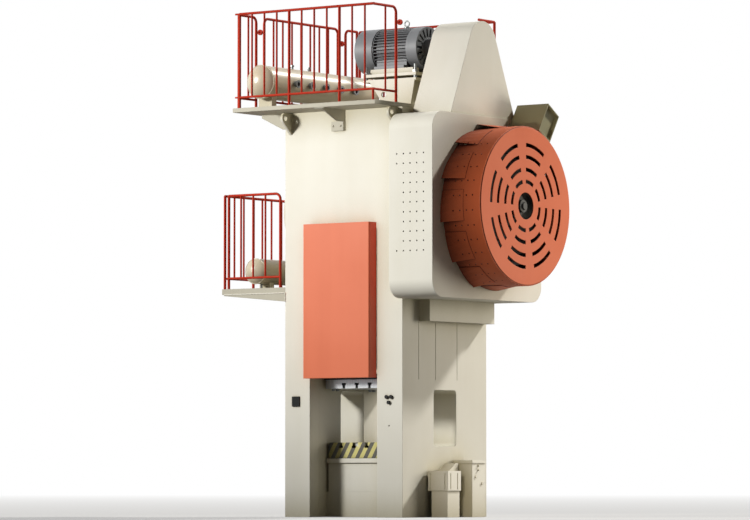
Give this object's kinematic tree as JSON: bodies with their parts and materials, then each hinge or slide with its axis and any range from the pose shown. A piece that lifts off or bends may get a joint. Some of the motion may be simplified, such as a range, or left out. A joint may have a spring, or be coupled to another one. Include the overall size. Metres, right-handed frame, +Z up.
{
  "type": "hot forging press",
  "caption": "Tall single-frame mechanical forging press with flywheel drive on its right, roof motor, railed service decks, air tanks and a lifting front guard over an open die space.",
  "frame": {"origin": "on the floor under the middle of the frame, on the underside of the bed beam", "axes": "+Z up, -Y is the front with the guard, +X is the flywheel side"},
  "size_m": [3.863, 2.57, 6.045],
  "materials": {
    "cream_paint": "satin enamel",
    "orange_paint": "satin enamel",
    "red_paint": "gloss enamel",
    "motor_grey": "satin enamel",
    "machined_steel": "ground",
    "cast_iron": "as cast, oiled",
    "bronze": "machined bronze",
    "black_plastic": "moulded",
    "belt_rubber": "moulded",
    "tank_enamel": "gloss enamel",
    "olive_paint": "satin enamel",
    "striped_steel": "striped enamel over steel",
    "zinc_fittings": "zinc plated"
  },
  "bodies": {
    "press": {"main_frame": "cream_paint", "bed_pedestal": "cream_paint", "bolster": "striped_steel", "ejector_cylinder": "cast_iron", "ram_gibs": "bronze", "bearing_housings": "cast_iron", "bearing_bushes": "bronze", "brake_caliper": "cast_iron", "brake_cover": "cream_paint", "drive_housing": "cream_paint", "clutch_cover_shell": "orange_paint", "clutch_cover_disc": "orange_paint", "cover_scoops": "orange_paint", "belt_guard": "cream_paint", "flywheel_brake_box": "olive_paint", "drive_belts": "belt_rubber", "motor_stator": "motor_grey", "motor_end_shield": "motor_grey", "motor_fan_cover": "motor_grey", "motor_eyebolt": "zinc_fittings", "motor_base": "cream_paint", "jack_screws": "zinc_fittings", "motor_bracket": "cream_paint", "upper_deck": "cream_paint", "upper_rail_front": "red_paint", "upper_rail_left": "red_paint", "upper_rail_back": "red_paint", "rail_couplings": "red_paint", "upper_tank": "tank_enamel", "tank_saddles": "cream_paint", "tank_fittings": "zinc_fittings", "lower_deck": "cream_paint", "lower_rails": "red_paint", "lower_tank": "tank_enamel", "guard_guides": "machined_steel", "guard_cylinder": "zinc_fittings", "rear_cover": "orange_paint", "display_panel": "black_plastic", "cabinet_front": "cream_paint", "cabinet_rear": "cream_paint"},
    "flywheel": {"flywheel": "cast_iron", "flywheel_bush": "bronze", "clutch_ring": "cast_iron"},
    "rotor": {"motor_rotor": "machined_steel", "motor_pulley": "cast_iron", "motor_fan": "black_plastic"},
    "shaft": {"eccentric_shaft": "machined_steel", "brake_disc": "machined_steel", "clutch_disc": "machined_steel", "air_union": "zinc_fittings"},
    "slide_block": {"yoke_block": "bronze"},
    "ram": {"ram": "cast_iron", "upper_die_holder": "machined_steel", "holder_bolts": "zinc_fittings"},
    "guard": {"front_guard": "orange_paint", "guard_rod": "machined_steel"},
    "ejector": {"ejector_pin": "machined_steel"},
    "push_button_1": {"button_1": "black_plastic"},
    "push_button_2": {"button_2": "black_plastic"},
    "push_button_3": {"button_3": "black_plastic"}
  },
  "joints": [
    {"name": "flywheel_spin", "type": "hinge", "parent": "press", "child": "flywheel", "pos_m": [1.185, 0, 3.668], "axis": [1, 0, 0], "continuous": true},
    {"name": "motor_spin", "type": "hinge", "parent": "press", "child": "rotor", "pos_m": [0.3, -0.06, 5.608], "axis": [1, 0, 0], "continuous": true},
    {"name": "eccentric_turn", "type": "hinge", "parent": "press", "child": "shaft", "pos_m": [0, 0, 3.668], "axis": [1, 0, 0], "range_deg": [0, 180]},
    {"name": "block_turn", "type": "hinge", "parent": "shaft", "child": "slide_block", "pos_m": [0, 0, 3.808], "axis": [1, 0, 0], "range_deg": [-180, 0]},
    {"name": "ram_stroke", "type": "slide", "parent": "press", "child": "ram", "axis": [0, 0, 1], "range_m": [-0.28, 0]},
    {"name": "guard_lift", "type": "slide", "parent": "press", "child": "guard", "axis": [0, 0, 1], "range_m": [-0.95, 0]},
    {"name": "ejector_lift", "type": "slide", "parent": "press", "child": "ejector", "axis": [0, 0, 1], "range_m": [0, 0.06]},
    {"name": "button_1_press", "type": "slide", "parent": "press", "child": "push_button_1", "axis": [0, 1, 0], "range_m": [0, 0.006], "stiffness_N_per_m": 900},
    {"name": "button_2_press", "type": "slide", "parent": "press", "child": "push_button_2", "axis": [0, 1, 0], "range_m": [0, 0.006], "stiffness_N_per_m": 900},
    {"name": "button_3_press", "type": "slide", "parent": "press", "child": "push_button_3", "axis": [0, 1, 0], "range_m": [0, 0.006], "stiffness_N_per_m": 900}
  ],
  "couplings": [
    {"joint": "motor_spin", "follows": "flywheel_spin", "ratio": 4.6176},
    {"joint": "block_turn", "follows": "eccentric_turn", "ratio": -1},
    {"joint": "ram_stroke", "follows": "eccentric_turn", "m_per_rad": -0.089126}
  ]
}
